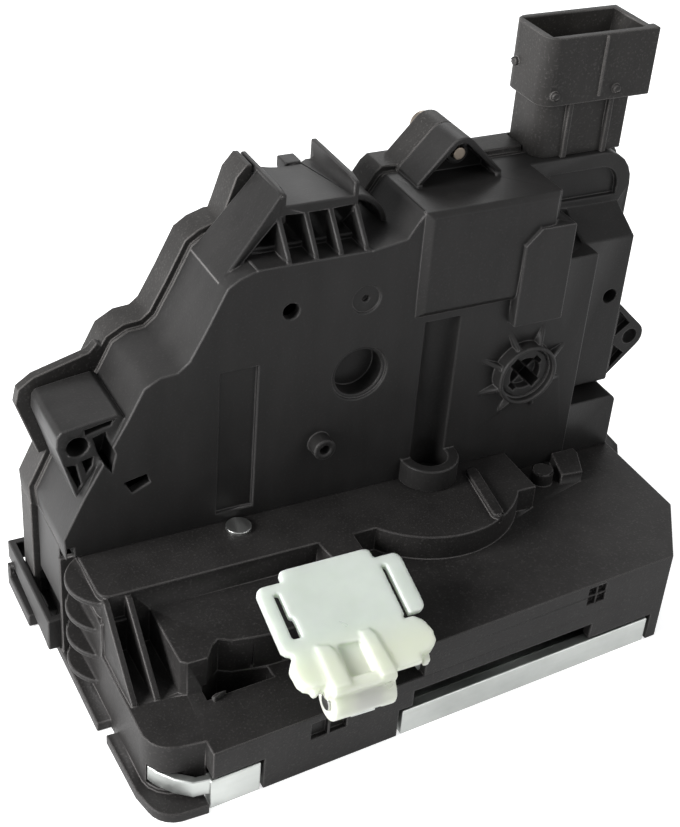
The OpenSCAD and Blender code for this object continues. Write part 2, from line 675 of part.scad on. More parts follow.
// Outlines of the upright housing in x and z, anticlockwise
panel = [[base_left - 2, shelf_z], [disc_r, shelf_z], [disc_r, level_b], [panel_right, level_b], [panel_right, 74.3],
    [28.5, 74.3], [28.5, 84], [25.6, 84], [25.6, top_z], [-5, top_z], [-6, top_z - 0.8], [-8.9, 85.5], [-15.6, 84.4],
    [-40.4, 84.2], [-43.5, 83.2], [-45.8, 81.6], [-49.5, 74.1], [-53, 67.5], [-55.3, 65.6], [-58.8, 65.3],
    [-61.9, 63.5], [-65.1, 57.2], [-74.1, 41.2], [base_left - 2.3, 32.7]];
arch_r = 8;
arch_plate = concat([[22, level_b], [arch_right, level_b]],
    arc([arch_right - arch_r, top_z - arch_r], arch_r, 0, 90, 6), [[22, top_z]]);
boss = [[-75, 40.8], [-64.9, 55.9], [-65.4, 57.6], [-66.6, 58.2], [-72.3, 57.5], [-77.4, 56.7], [-78.3, 55.6],
    [-78.5, 53]];
boss_hole = [-74.4, 52.6];
boss_hole_r = 2.1;
boss_y = 1.5;
cup = [-16.7, 56.9];
rear_lug = [[-77.1, 40.5], [-70, 42], [-61, 61], [-64.7, 63.4], [-66.3, 61.6], [-77.4, 58.4], [-80.5, 56.2],
    [-81.2, 52.9]];
lug_t = 2.2;
// Skirts of both shells beside the left wall of the base
skirt_x = base_left - gap;
skirt_front = [[skirt_x - 1.9, 12.9], [skirt_x, 12.9], [skirt_x, shelf_z + 1], [skirt_x - 1.9, shelf_z + 1]];
skirt_rear = [[skirt_x - 3.1, 3.4], [skirt_x - 1.7, 3.4], [skirt_x - 1.7, 10.4], [skirt_x, 11.8],
    [skirt_x, shelf_z + 1], [skirt_x - 3.1, shelf_z + 1]];
channel_x = 1.4;
channel_y = -0.6;
channel_r = 4.05;
channel_top = 65.7;
ear_hole = [60.2, 42.7];
ear_hole_r = 1.9;
ear_t = 6;
ear_x0 = arch_right + 0.1;
column_y = 4.5;
hood_x = 7.2;
hood_top = top_z + 9.4;
hood_r = 3.6;
tip_r = 1.25;

// Solid forms of the front cover
module cover_solid() {
    slab(0, front_depth) polygon(panel);
    slab(arch_y, front_depth) polygon(arch_plate);
    // Column on the right with sloped ends, and the lower block
    slab(1.3, front_depth) polygon([[panel_right - 1, level_b], [50.5, level_b], [50.5, 34.1], [50, 35.1], [49, 35.5],
        [panel_right - 1, 35.5]]);
    slabx(panel_right - 1, 49.4) polygon([[column_y, 38], [arch_y + 1, 33], [arch_y + 1, 79.5], [column_y, 74.3]]);
    // Motor box with bevelled edges, and the pad over its lower right corner
    hull() {
        slab(-1.5, 1) polygon([[-4.2, 69], [23.8, 69], [23.8, top_z - 1], [-4.2, top_z - 1]]);
        slab(-0.2, 1) polygon([[-5.5, 67.5], [25, 67.5], [25, top_z], [-5.5, top_z]]);
    }
    slab(-2.5, 1) polygon([[17, 62], [28.5, 62], [28.5, 84], [20.4, 84], [17, 80.6]]);
    // Boss and skirt on the left
    slab(boss_y, front_depth) polygon(boss);
    slab(3.7, front_depth) polygon(skirt_front);
    // Key collar and its gussets
    rod_y(key_x, key_z, key_r, -3, 3);
    for (k = [0:7]) translate([key_x, 0, key_z]) rotate([0, 22.5 + 45 * k, 0])
        gusset();
    // Bush for the cup on the half disc
    rod_z(channel_x, channel_y, 6.5, shelf_z, 33);
    // Backing of the vertical channel
    intersection() {
        rod_z(channel_x, channel_y, channel_r + wall, shelf_z, channel_top + wall);
        block([-20, 0.5, 0], [20, 20, 100]);
    }
    // Pin that stands out of the panel
    rod_y(-24.8, 42.4, 2.4, -3.2, 1);
}
// Triangular rib from the collar's rim to the panel
module gusset() {
    translate([-0.5, 0, 0]) slabx(0, 1) polygon([[1, key_r - 1], [-2.6, key_r - 1], [1, key_r + 6]]);
}

// Rib recess at the top left: lip, deck, fins and hook
deck_z = 91.3;
module cover_top() {
    fin_t = 1.1;
    slabx(-40, -16.2) polygon([[0, 82], [0, 84.4], [6, 84.4], [6, 85.5], [front_depth, 86], [front_depth, 82]]);
    for (x = [-33.4, -27.8, -22.7, -17.3]) slabx(x - 0.5, x + 0.5)
        polygon([[0.4, 84], [0.4, 85], [1, 85.8], [6, deck_z + eps], [16, deck_z + eps], [16, 84]]);
    layer(deck_z, deck_z + 2) difference() {
        translate([-32.9, 6]) square([15.8, 17.6]);
        translate([-25, 30]) circle(r = 8.2);
    }
    for (f = [[-33, 96], [-18, 96.6]]) slabx(f.x, f.x + fin_t) polygon([[6, 90], [6, f.y - 0.6], [9, f.y],
        [total_depth + 0.2, f.y], [total_depth + 0.2, 89.4], [front_depth, 87.4], [front_depth, 84], [12, 84]]);
    block([-24.9, 22, deck_z], [-21.4, total_depth + 1, deck_z + 2.4]);
    // Slanted wall on the left and the curved plate on the right of the deck
    hull() {
        slab(3.6, front_depth) polygon([[-46.2, 80.8], [-44.4, 80.8], [-43, 83], [-44.2, 83]]);
        slab(6.2, front_depth) polygon([[-34.4, 92.2], [-32, 92.2], [-32, 95.8], [-33, 95.6]]);
    }
    slab(8, front_depth) polygon(concat([[-17.4, 91.6]], arc([-17.4, 84], 8.4, 80, 12, 6),
        arc([-17.4, 84], 7.2, 12, 80, 6)));
}

// Hood over the round boss at the top, open to the front
module hood_profile(d) {
    polygon(concat([[hood_x - 9.4 + d, top_z - 1], [hood_x + 9.8 - d, top_z - 1], [hood_x + 9.8 - d, top_z + 1.1]],
        arc([hood_x, hood_top - hood_r], hood_r - d, 44, 137, 8), [[hood_x - 9.4 + d, top_z + 0.9]]));
}
screw_top = [hood_x, hood_top - 3.8];
module hood() {
    difference() {
        slab(9.5, front_depth) hood_profile(0);
        slab(8, front_depth + 1) hood_profile(1.3);
    }
    slab(15.5, front_depth) hood_profile(0.6);
    rod_y(screw_top.x, screw_top.y, 2.5, 11.4, front_depth);
}

// Room inside the front cover
module cover_room() {
    y1 = front_depth + 1;
    slab(wall, y1) polygon(inset(panel, wall));
    slab(arch_y + wall, y1) polygon(inset(arch_plate, wall));
    slab(column_y + wall, y1) square_xz(panel_right - wall - 1, 49.4 - wall, 38 + wall, 74.3 - wall);
    slab(1.3 + wall, y1) square_xz(panel_right - wall - 1, 50.5 - wall, level_b + wall, 35.5 - wall);
}
module square_xz(x0, x1, z0, z1) {
    polygon([[x0, z0], [x1, z0], [x1, z1], [x0, z1]]);
}

// Places where the two shells are screwed together: x and z
screws = [[-66, 36], [-48, 68], [32, 28], [46, 60]];
screw_r = 1.6;
post_out = 3.4;
module cover_posts() {
    for (s = screws) rod_y(s.x, s.y, post_out, (s.x > panel_right ? column_y : 0) + 1.2, front_depth);
    // Sleeve of the key hub
    rod_y(key_x, key_z, hub_bore_r + 1.6, 0, 4);
    // Backing of the cup in the panel
    rod_y(cup.x, cup.y, 6.8, 0.6, 6);
    // Cradle under the motor and bearing block below the worm
    block([motor_x - 9, wall - 1, motor_z - 1.8], [motor_x - 3.4, motor_y + 4, motor_z]);
    block([motor_x + 3.4, wall - 1, motor_z - 1.8], [motor_x + 9, motor_y + 4, motor_z]);
    block([motor_x - 3, wall - 1, worm_z0 - 3.4], [motor_x + 3, motor_y + 2.6, worm_z0 - 0.4]);
    rod_y(wheel_x, wheel_z, 4.5, wall - 1, wheel_y0 - 0.2);
}

module front_cover() {
    color([0.1, 0.095, 0.09]) difference() {
        union() {
            difference() {
                cover_solid();
                difference() {
                    cover_room();
                    rod_z(channel_x, channel_y, channel_r + wall, shelf_z, channel_top + wall);
                    slab(0, front_depth + 2) polygon(inset(boss, -1));
                }
            }
            cover_top();
            hood();
            cover_posts();
        }
        // Vertical channel and the hole through the cup
        rod_z(channel_x, channel_y, channel_r, shelf_z - 1, channel_top);
        // Bore of the key hub and the step in the collar
        rod_y(key_x, key_z, hub_bore_r + fit, -4, 6);
        rod_y(key_x, key_z, key_r - 0.9, -4, -1.6);
        // Hole in the boss, pockets beside it
        rod_y(boss_hole.x, boss_hole.y, boss_hole_r, boss_y - 1, boss_y + 12);
        slab(boss_y - 1, boss_y + 5) polygon([[-72.8, 54.9], [-68, 56], [-67, 57.1], [-72.9, 56]]);
        slab(-1, boss_y + 5) polygon([[-71.4, 53.9], [-70.4, 50], [-69.5, 47.8], [-68.3, 46.2], [-68, 48.1],
            [-67.5, 50.4], [-68.6, 53.1], [-68.9, 54.7]]);
        slab(boss_y - 1, boss_y + 5) polygon([[-76.6, 48.6], [-74.5, 43], [-73.9, 43.8], [-74.8, 48.5]]);
        slab(boss_y - 1, boss_y + 5) polygon([[-73.6, 49.1], [-72.8, 46.2], [-71.7, 47.7], [-71.4, 49.6]]);
        slab(-1, 4) square_xz(-77.6, -76.2, shelf_z - 1, 30.2);
        // Marks of the panel: groove, deep cup, small holes
        slab(-1, 0.9) polygon([[-46.6, 30.2], [-38.9, 30.2], [-38.9, 63.5], [-46.6, 63.5]]);
        rod_y(cup.x, cup.y, 5.2, -1, 4.6);
        rod_y(cup.x, cup.y, 6, -1, 0.6);
        rod_y(-32.6, 74.3, 1.7, -1, wall + 1);
        rod_y(-16.6, 73.8, 3, -1, 0.5);
        rod_y(-16.6, 73.8, 0.7, -1, 1.4);
        rod_y(-24.8, 42.4, 1.1, -4, -1);
        slab(-1, wall + 1) polygon([[-65.9, 43], [-64.3, 40.3], [-60.7, 42], [-61.3, 44]]);
        // Recess of the plate behind the column
        slab(arch_y - 1, arch_y + 1.2) polygon(concat([[31, 80.6], [arch_right - 3.4, 80.6]],
            arc([arch_right - arch_r, top_z - arch_r], arch_r - 3.4, 0, 90, 5), [[31, top_z - 3.4]]));
        // Screw holes
        for (s = screws) rod_y(s.x, s.y, screw_r + fit, wall + 2, front_depth + 1);
        rod_y(screw_top.x, screw_top.y, tip_r + fit, 9, front_depth + 1);
        // Journal of the worm, axle of the wheel, slot for the slider's foot, way for the contacts
        rod_z(motor_x, motor_y, 1 + fit, worm_z0 - 3, worm_z0);
        rod_y(wheel_x, wheel_z, 2 + fit, wheel_y0 - 4.1, wheel_y0 + 1);
        block([slider_x - 4, slider_y0 - 1, shelf_z - 1], [slider_x + 4, front_depth + 1, shelf_z + wall + 1]);
        block([carrier_x0 - gap, carrier_y0 - gap, top_z - wall - 1], [carrier_x1 + gap, front_depth + 1, top_z + 1]);
    }
}

// Ear with the fixing hole, joined to the right edge of the arch plate
module screw_ear() {
    color([0.1, 0.095, 0.09]) difference() {
        union() {
            slab(arch_y, arch_y + 2.6) polygon(concat([[ear_x0, 31], [55.4, 33.1]], arc(ear_hole, 3.6, -50, 50, 5),
                [[55.9, 51.9], [ear_x0, 53.4]]));
            rod_y(ear_hole.x, ear_hole.y, 3.4, arch_y + 1, arch_y + ear_t);
        }
        slab(arch_y - 1, arch_y + 1.8) polygon([[56, 50.2], [56, 43.6], [59.6, 46.3]]);
        slab(arch_y - 1, arch_y + 1.8) polygon([[56, 41.2], [56, 34.8], [59.4, 38.4]]);
        rod_y(ear_hole.x, ear_hole.y, ear_hole_r, arch_y - 1, arch_y + ear_t + 1);
    }
}

// Rear shell: rim, outer wall, back and inner posts
module rear_outline(d) {
    polygon(inset(panel, d));
    polygon(inset(arch_plate, d));
}
// Web behind the left fin of the rib recess
rear_web = [[-44, 82.5], [-33.5, 82.5], [-33.5, 96.3], [-34.6, 96.4], [-36.8, 93.8], [-38.6, 88.4], [-40.1, 84]];
// Stiffening ribs on the back, and the pad round the seat of the inside lever's pin
module back_ribs() {
    slab(total_depth - eps, total_depth + 1.2) {
        for (x = [-20, 2]) square_xz(x, x + 1.4, shelf_z + 5, 80);
        for (z = [38, 62, 80]) square_xz(-24, 44, z, z + 1.4);
        for (x = [24, 42.6]) square_xz(x, x + 1.4, level_b + 5, 84);
    }
}
module rear_housing() {
    color([0.11, 0.105, 0.1]) difference() {
        union() {
            slab(front_depth, front_depth + seam + eps) intersection() {
                rear_outline(0);
                translate([-100, shelf_z]) square([200, 100]);
            }
            slab(front_depth + seam, total_depth) intersection() {
                rear_outline(-rim_out);
                union() {
                    translate([-100, shelf_z]) square([200, 100]);
                    translate([disc_r, level_b]) square([60, 100]);
                }
            }
            slab(front_depth, front_depth + seam + eps) intersection() {
                rear_outline(0);
                translate([disc_r, level_b]) square([60, 20]);
            }
            slab(front_depth + seam, front_depth + seam + lug_t) polygon(rear_lug);
            slab(front_depth + seam, total_depth) polygon(skirt_rear);
            slab(front_depth + seam, total_depth + 0.2) polygon(rear_web);
            back_ribs();
            // Raised rim behind the hood
            slab(front_depth, total_depth - 1) hood_profile(0);
        }
        difference() {
            slab(front_depth - 1, total_depth - wall) {
                polygon(inset(panel, wall));
                polygon(inset(arch_plate, wall));
            }
            for (s = screws) rod_y(s.x, s.y, post_out, front_depth, total_depth);
            rod_y(inside_c.x, inside_c.y, 5, front_depth + 2, total_depth);
            rod_y(wheel_x, wheel_z, 4.5, wheel_y1 + pinion_w + 0.2, total_depth);
            for (z = [shelf_z + 4, 78]) block([slider_x - 5, slider_y1 + 0.7, z], [slider_x + 5, total_depth, z + 3]);
        }
        rod_y(screw_top.x, screw_top.y, tip_r + fit, front_depth - 1, total_depth + 1);
        for (s = screws) {
            rod_y(s.x, s.y, screw_r + fit, front_depth - 1, total_depth + 1);
            rod_y(s.x, s.y, 3 + fit, total_depth - 1.5, total_depth + 1);
        }
        rod_y(boss_hole.x, boss_hole.y, boss_hole_r + 0.6, front_depth - 1, total_depth + 1);
        rod_y(wheel_x, wheel_z, 2 + fit, front_depth, total_depth - 1);
        rod_y(inside_c.x, inside_c.y, inside_pin_r + fit, front_depth, total_depth + 1);
        block([carrier_x0 - gap, front_depth - 1, top_z - wall - 1], [carrier_x1 + gap, carrier_y1 + gap, top_z + 5]);
        block([neck_x0 - gap, front_depth - 1, top_z], [neck_x1 + gap, neck_y1 + gap, top_z + 5]);
    }
}

module housing_screws() {
    color("silver") {
        for (s = screws) {
            rod_y(s.x, s.y, screw_r, front_depth - 8, total_depth - 1);
            rod_y(s.x, s.y, 3, total_depth - 1.5, total_depth + 0.4);
        }
        rod_y(screw_top.x, screw_top.y, tip_r, 10.6, total_depth);
        rod_y(screw_top.x, screw_top.y, 2.6, total_depth - 1, total_depth + 1.2);
    }
}

// Key hub: cup with a cross slot, and the arm that it turns inside the housing
module key_hub() {
    color([0.13, 0.13, 0.13]) difference() {
        union() {
            rod_y(key_x, key_z, hub_bore_r, -1.6, 7);
            rod_y(key_x, key_z, hub_bore_r + 0.9, 4.3, 7);
            slab(4.3, 7) polygon([[key_x, key_z - 4], [key_x + 11, key_z - 2], [key_x + 11, key_z + 2],
                [key_x, key_z + 4]]);
        }
        rod_y(key_x, key_z, 3.6, -2, 0.4);
        for (a = [45, 135]) translate([key_x, 0, key_z]) rotate([0, a, 0])
            block([-4.4, -2, -key_slot], [4.4, 4, key_slot]);
    }
}

// Plug socket: neck, shroud, rail and pips, with slots for the blades
plug_z = top_z + neck_h;
neck_x0 = plug_x + 2;
neck_x1 = plug_x + plug_w - 2.1;
neck_y0 = plug_y + 2;
neck_y1 = plug_y + 12.5;
// Carrier of the contacts inside the neck
carrier_x0 = 29;
carrier_x1 = 46.9;
carrier_y0 = 15.2;
carrier_y1 = total_depth - wall - 1;
carrier_z0 = 76;
contacts = [for (i = [0:3]) for (y = [carrier_y0 + 1.2, carrier_y1 - 1.2]) [31 + 4.6 * i, y]];
blade = [1.6, 0.8];
module connector_housing() {
    x1 = plug_x + plug_w;
    y1 = plug_y + plug_d;
    z1 = plug_z + plug_h;
    color([0.16, 0.15, 0.145]) difference() {
        union() {
            layer(plug_z, z1) polygon(concat(arc([plug_x + 3, y1 - 3], 3, 90, 180, 4),
                arc([plug_x + 3, plug_y + 3], 3, 180, 270, 4), [[x1 + 1.2, plug_y], [x1 + 1.2, plug_y + 2.4],
                [x1, plug_y + 2.4], [x1, y1]]));
            layer(top_z, plug_z + 1) polygon(concat([[neck_x0, neck_y1]],
                arc([neck_x0 + 3, neck_y0 + 3], 3, 180, 270, 4), [[neck_x1, neck_y0], [neck_x1, neck_y1]]));
            // Ribs of the neck, pips and the thin rib on the front
            for (x = [33.7, 43.5]) block([x - 0.6, 12.5, top_z], [x + 0.6, 14, plug_z + eps]);
            for (x = [28.3, 43]) rod_y(x, plug_z + 2.4, 0.9, plug_y - 0.8, plug_y + 1);
            rod_x(y1 - 3.4, plug_z + 6, 0.9, plug_x - 0.8, plug_x + 1);
            block([38.7, plug_y - 0.5, plug_z + 1.2], [39.3, plug_y + 1, z1 - 0.4]);
        }
        layer(plug_z + 1.4, z1 + 1)
            polygon(inset([[plug_x, y1], [plug_x, plug_y], [x1, plug_y], [x1, y1]], plug_wall));
        block([carrier_x0 - gap, carrier_y0 - gap, top_z - 1], [carrier_x1 + gap, carrier_y1 + gap, plug_z - 2.6]);
        for (c = contacts) block([c.x - blade.x / 2 - fit, c.y - blade.y / 2 - fit, plug_z - 4],
            [c.x + blade.x / 2 + fit, c.y + blade.y / 2 + fit, plug_z + 3]);
    }
}
module contact_carrier() {
    color([0.2, 0.3, 0.25]) difference() {
        block([carrier_x0, carrier_y0, carrier_z0], [carrier_x1, carrier_y1, plug_z - 2.9]);
        for (c = contacts) block([c.x - blade.x / 2 - fit, c.y - blade.y / 2 - fit, plug_z - 12],
            [c.x + blade.x / 2 + fit, c.y + blade.y / 2 + fit, plug_z]);
    }
}
module contact_pins() {
    color("gold") for (c = contacts)
        block([c.x - blade.x / 2, c.y - blade.y / 2, plug_z - 12],
            [c.x + blade.x / 2, c.y + blade.y / 2, plug_z + 10]);
}

// Locking drive: motor, worm, wheel with pinion, slider with rack
worm_pitch = PI;
worm_r = 2.9;
worm_len = 13;
worm_z0 = wheel_z - worm_len / 2;
wheel_r = wheel_teeth / 2;
wheel_w = 2.6;
wheel_x = motor_x - worm_r - wheel_r;
wheel_y0 = motor_y - wheel_w / 2;
wheel_y1 = motor_y + wheel_w / 2;
pinion_r = rack_module * pinion_teeth / 2;
pinion_w = 4;
motor_w = 18;
motor_d = 15;
motor_len = 19;
module lock_motor() {
    color("silver") {
        intersection() {
            rod_z(motor_x, motor_y, motor_w / 2, motor_z, motor_z + motor_len);
            block([motor_x - 20, motor_y - motor_d / 2, motor_z - 1], [motor_x + 20, motor_y + motor_d / 2, 100]);
        }
        rod_z(motor_x, motor_y, 2.8, motor_z - 1.4, motor_z + 1);
    }
}
module worm() {
    turns = 3;
    color([0.85, 0.8, 0.65]) {
        rod_z(motor_x, motor_y, worm_r - 1.1, worm_z0, worm_z0 + worm_len);
        rod_z(motor_x, motor_y, 1, worm_z0, motor_z - 1.5);
        rod_z(motor_x, motor_y, 1, worm_z0 - 2.8, worm_z0 + 1);
        translate([motor_x, motor_y, wheel_z - worm_pitch * turns / 2]) worm_thread(turns);
    }
}
// Ridge of the worm: a trapezoid section swept along a helix; its middle turn crosses the wheel's plane
module worm_thread(turns, steps = 20) {
    n = turns * steps;
    r0 = worm_r - 1.4;
    r1 = worm_r + 0.9;
    prof = [[r0, -0.85], [r1, -0.35], [r1, 0.35], [r0, 0.85]];
    pts = [for (i = [0:n]) for (p = prof)
        let (a = 360 * i / steps + worm_phase) [p.x * cos(a), p.x * sin(a), p.y + worm_pitch * i / steps]];
    faces = [for (i = [0:n - 1]) for (k = [0:3]) let (m = (k + 1) % 4)
        [4 * i + k, 4 * i + m, 4 * i + 4 + m, 4 * i + 4 + k]];
    polyhedron(pts, concat([[3, 2, 1, 0]], [for (f = faces) [f[3], f[2], f[1], f[0]]],
        [[4 * n, 4 * n + 1, 4 * n + 2, 4 * n + 3]]));
}
worm_phase = 180;
// A spur gear outline with straight flanks
module gear_outline(teeth, module_size, add, ded, half) {
    r = teeth * module_size / 2;
    circle(r = r - ded);
    for (k = [0:teeth - 1]) rotate(360 * k / teeth) polygon([[r - ded - 1, -half * 1.45], [r, -half],
        [r + add, -half * 0.55], [r + add, half * 0.55], [r, half], [r - ded - 1, half * 1.45]]);
}
module worm_wheel() {
    color([0.9, 0.9, 0.85]) {
        translate([wheel_x, wheel_y1, wheel_z]) rotate([90, 0, 0]) linear_extrude(wheel_y1 - wheel_y0)
            gear_outline(wheel_teeth, 1, 0.9, 1.2, 0.5);
        translate([wheel_x, wheel_y1 + pinion_w, wheel_z]) rotate([90, 0, 0]) linear_extrude(pinion_w + 1)
            gear_outline(pinion_teeth, rack_module, rack_module * 0.85, rack_module * 1.1, rack_module * 0.62);
        rod_y(wheel_x, wheel_z, 2, wheel_y0 - 4, total_depth - 1.4);
    }
}
slider_x = wheel_x - pinion_r - 3.6;
slider_y0 = wheel_y1 + 0.3;
slider_y1 = wheel_y1 + pinion_w - 0.1;
rack_pitch = PI * rack_module;
slider_z0 = shelf_z - 7.25;
slider_z1 = wheel_z + 22;
module lock_slider() {
    x_pitch = wheel_x - pinion_r;
    color([0.25, 0.25, 0.25]) {
        block([slider_x - 2.5, slider_y0, slider_z0], [slider_x + 2, slider_y1, slider_z1]);
        slab(slider_y0, slider_y1) for (k = [-2:2]) translate([x_pitch, wheel_z + rack_pitch * (k + 0.5)])
            polygon([[-1.9, -1.35], [0, -0.62], [0.95, -0.3], [0.95, 0.3], [0, 0.62], [-1.9, 1.35]]);
    }
}

// Switch that senses the claw, standing on the support plate
module microswitch() {
    color([0.12, 0.1, 0.1]) {
        block([20, 4, support_z1], [32, 9.6, ceiling_b - 0.4]);
        block([24, 9.6, support_z1 + 1.6], [32, 10.4, support_z1 + 4]);
    }
}

// Lever of the inside handle on the back of the rear shell, and its pin
inside_c = [-52, 44];
inside_pin_r = 2.5;
inside_t = 2;
inside_y = total_depth + 0.6;
module inside_lever() {
    color("silver") difference() {
        slab(inside_y, inside_y + inside_t) {
            translate(inside_c) circle(r = 6);
            polygon([inside_c + [-0.6, -5.9], inside_c + [20, -3.2], inside_c + [20, 4], inside_c + [0, 6]]);
            translate(inside_c + [20, 0.4]) circle(r = 3.6);
            polygon([inside_c + [-5.6, 1], inside_c + [5.6, 1], inside_c + [2.5, 14], inside_c + [-2.5, 14]]);
        }
        rod_y(inside_c.x, inside_c.y, inside_pin_r + fit, inside_y - 1, inside_y + inside_t + 1);
        rod_y(inside_c.x + 20, inside_c.y + 0.4, 1.8, inside_y - 1, inside_y + inside_t + 1);
    }
}
module inside_pin() {
    color("lightgray") {
        rod_y(inside_c.x, inside_c.y, inside_pin_r, total_depth - 5, inside_y + inside_t + 0.1 + eps);
        rod_y(inside_c.x, inside_c.y, inside_pin_r + 1.6, total_depth, inside_y - 0.1);
        rod_y(inside_c.x, inside_c.y, inside_pin_r + 1.5, inside_y + inside_t + 0.1, inside_y + inside_t + 1.1);
    }
}

backplate();
fixing_bushes();
latch_housing();
support_plate();
claw();
claw_jacket();
claw_pin();
claw_spring();
pawl();
pawl_pin();
pawl_spring();
striker_buffer();
release_lever();
clip_pin();
rod_clip();
cable_bracket();
shelf_rivet();
front_cover();
screw_ear();
rear_housing();
housing_screws();
key_hub();
connector_housing();
contact_carrier();
contact_pins();
lock_motor();
worm();
worm_wheel();
lock_slider();
microswitch();
inside_lever();
inside_pin();
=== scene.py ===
"""Looks of the car door lock: materials, fine pieces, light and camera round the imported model."""
import json
import math

import bmesh
import bpy
from mathutils import Matrix, Vector


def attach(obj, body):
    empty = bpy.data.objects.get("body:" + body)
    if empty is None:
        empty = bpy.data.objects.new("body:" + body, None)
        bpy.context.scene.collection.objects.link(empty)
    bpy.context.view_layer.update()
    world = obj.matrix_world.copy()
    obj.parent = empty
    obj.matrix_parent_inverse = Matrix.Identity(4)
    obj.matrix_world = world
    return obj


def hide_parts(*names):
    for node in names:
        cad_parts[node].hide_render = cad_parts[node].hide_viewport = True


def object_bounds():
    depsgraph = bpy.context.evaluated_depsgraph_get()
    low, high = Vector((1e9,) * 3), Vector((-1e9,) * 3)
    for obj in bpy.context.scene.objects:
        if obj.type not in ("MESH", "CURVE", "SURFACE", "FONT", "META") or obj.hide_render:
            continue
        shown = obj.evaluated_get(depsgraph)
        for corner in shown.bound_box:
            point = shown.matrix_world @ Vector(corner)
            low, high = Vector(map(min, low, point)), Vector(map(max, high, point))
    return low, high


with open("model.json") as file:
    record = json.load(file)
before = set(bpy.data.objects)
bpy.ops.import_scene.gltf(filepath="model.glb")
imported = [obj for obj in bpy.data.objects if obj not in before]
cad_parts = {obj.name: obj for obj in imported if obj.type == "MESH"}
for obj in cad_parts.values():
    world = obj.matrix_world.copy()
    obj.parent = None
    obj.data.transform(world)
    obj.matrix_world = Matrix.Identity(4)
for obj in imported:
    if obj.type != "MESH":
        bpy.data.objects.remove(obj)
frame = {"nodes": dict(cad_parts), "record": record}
cad_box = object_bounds()

MM = 0.001
scene = bpy.context.scene
nodes = frame["nodes"]
record = frame["record"]


# Camera at the photograph's place
PHOTO_H = 827
FOCAL_PX = 1533.44
SENSOR = 36.0
EYE = Vector((-144.3, -221.9, 220.6)) * MM
RIGHT = Vector((0.89319, -0.44415, 0.07025))
DOWN = Vector((-0.19853, -0.52967, -0.82465))
AHEAD = Vector((0.40348, 0.72262, -0.56127))

cam_data = bpy.data.cameras.new("camera")
cam_data.sensor_fit = "VERTICAL"
cam_data.sensor_height = SENSOR
cam_data.lens = FOCAL_PX / PHOTO_H * SENSOR
cam_data.clip_start = 0.01
cam_data.clip_end = 10
cam = bpy.data.objects.new("camera", cam_data)
scene.collection.objects.link(cam)
turn = Matrix((RIGHT, -DOWN, -AHEAD)).transposed().to_4x4()
cam.matrix_world = Matrix.Translation(EYE) @ turn
scene.camera = cam


# Small helpers for node trees
class Tree:
    """A material's or world's node tree, with short calls to add and join nodes."""

    def __init__(self, block):
        block.use_nodes = True
        self.nodes = block.node_tree.nodes
        self.links = block.node_tree.links
        self.nodes.clear()

    def add(self, kind, **values):
        """A new node, with values for its sockets or, where no socket has the name, its settings."""
        node = self.nodes.new(kind)
        for key, value in values.items():
            if key in node.inputs:
                node.inputs[key].default_value = value
            else:
                setattr(node, key, value)
        return node

    def join(self, a, b):
        self.links.new(a, b)

    def math(self, operation, a, b):
        """A maths node on two sockets or numbers."""
        node = self.add("ShaderNodeMath", operation=operation)
        for socket, value in zip(node.inputs, (a, b)):
            if isinstance(value, (int, float)):
                socket.default_value = value
            else:
                self.join(value, socket)
        return node.outputs[0]

    def ramp(self, source, low, high, to_low, to_high):
        """A value stretched from one range to another and held inside it."""
        node = self.add("ShaderNodeMapRange", clamp=True)
        for key, value in (("From Min", low), ("From Max", high), ("To Min", to_low), ("To Max", to_high)):
            node.inputs[key].default_value = value
        self.join(source, node.inputs["Value"])
        return node.outputs["Result"]

    def blend(self, factor, a, b):
        """A mix of two colours or colour sockets."""
        node = self.add("ShaderNodeMix", data_type="RGBA")
        self.join(factor, node.inputs["Factor"])
        colour_in = [s for s in node.inputs if s.type == "RGBA"]
        for socket, value in zip(colour_in, (a, b)):
            if isinstance(value, (tuple, list)):
                socket.default_value = (*value[:3], 1)
            else:
                self.join(value, socket)
        return [s for s in node.outputs if s.type == "RGBA"][0]


def scaled(colour, k):
    """A colour made lighter or darker, at most white."""
    return tuple(min(1, c * k) for c in colour[:3])


def place(tree, stretch=(1, 1, 1)):
    """Object coordinates, stretched along the axes."""
    coord = tree.add("ShaderNodeTexCoord")
    mapping = tree.add("ShaderNodeMapping")
    mapping.inputs["Scale"].default_value = stretch
    tree.join(coord.outputs["Object"], mapping.inputs["Vector"])
    return mapping.outputs["Vector"]


def noise(tree, where, scale, detail=2.0, rough=0.5):
    node = tree.add("ShaderNodeTexNoise", Scale=scale, Detail=detail, Roughness=rough)
    tree.join(where, node.inputs["Vector"])
    return node.outputs["Fac"]


EDGE_START = 0.99  # how far the two normals agree where the mask begins and where it is full
EDGE_FULL = 0.9


def edge_mask(tree, radius):
    """1 on edges, 0 on flats, from how far a rounded normal leans from the true one."""
    soft = tree.add("ShaderNodeBevel", samples=4, Radius=radius)
    geometry = tree.add("ShaderNodeNewGeometry")
    dot = tree.add("ShaderNodeVectorMath", operation="DOT_PRODUCT")
    tree.join(soft.outputs["Normal"], dot.inputs[0])
    tree.join(geometry.outputs["Normal"], dot.inputs[1])
    return soft.outputs["Normal"], tree.ramp(dot.outputs["Value"], EDGE_START, EDGE_FULL, 0, 1)


def shell(name, metallic=0.0, **constants):
    """A material with a Principled shader whose even values are set on its own sockets."""
    material = bpy.data.materials.new(name)
    tree = Tree(material)
    out = tree.add("ShaderNodeOutputMaterial")
    bsdf = tree.add("ShaderNodeBsdfPrincipled", Metallic=metallic)
    for key, value in constants.items():
        bsdf.inputs[key.replace("_", " ")].default_value = value
    tree.join(bsdf.outputs["BSDF"], out.inputs["Surface"])
    return material, tree, bsdf


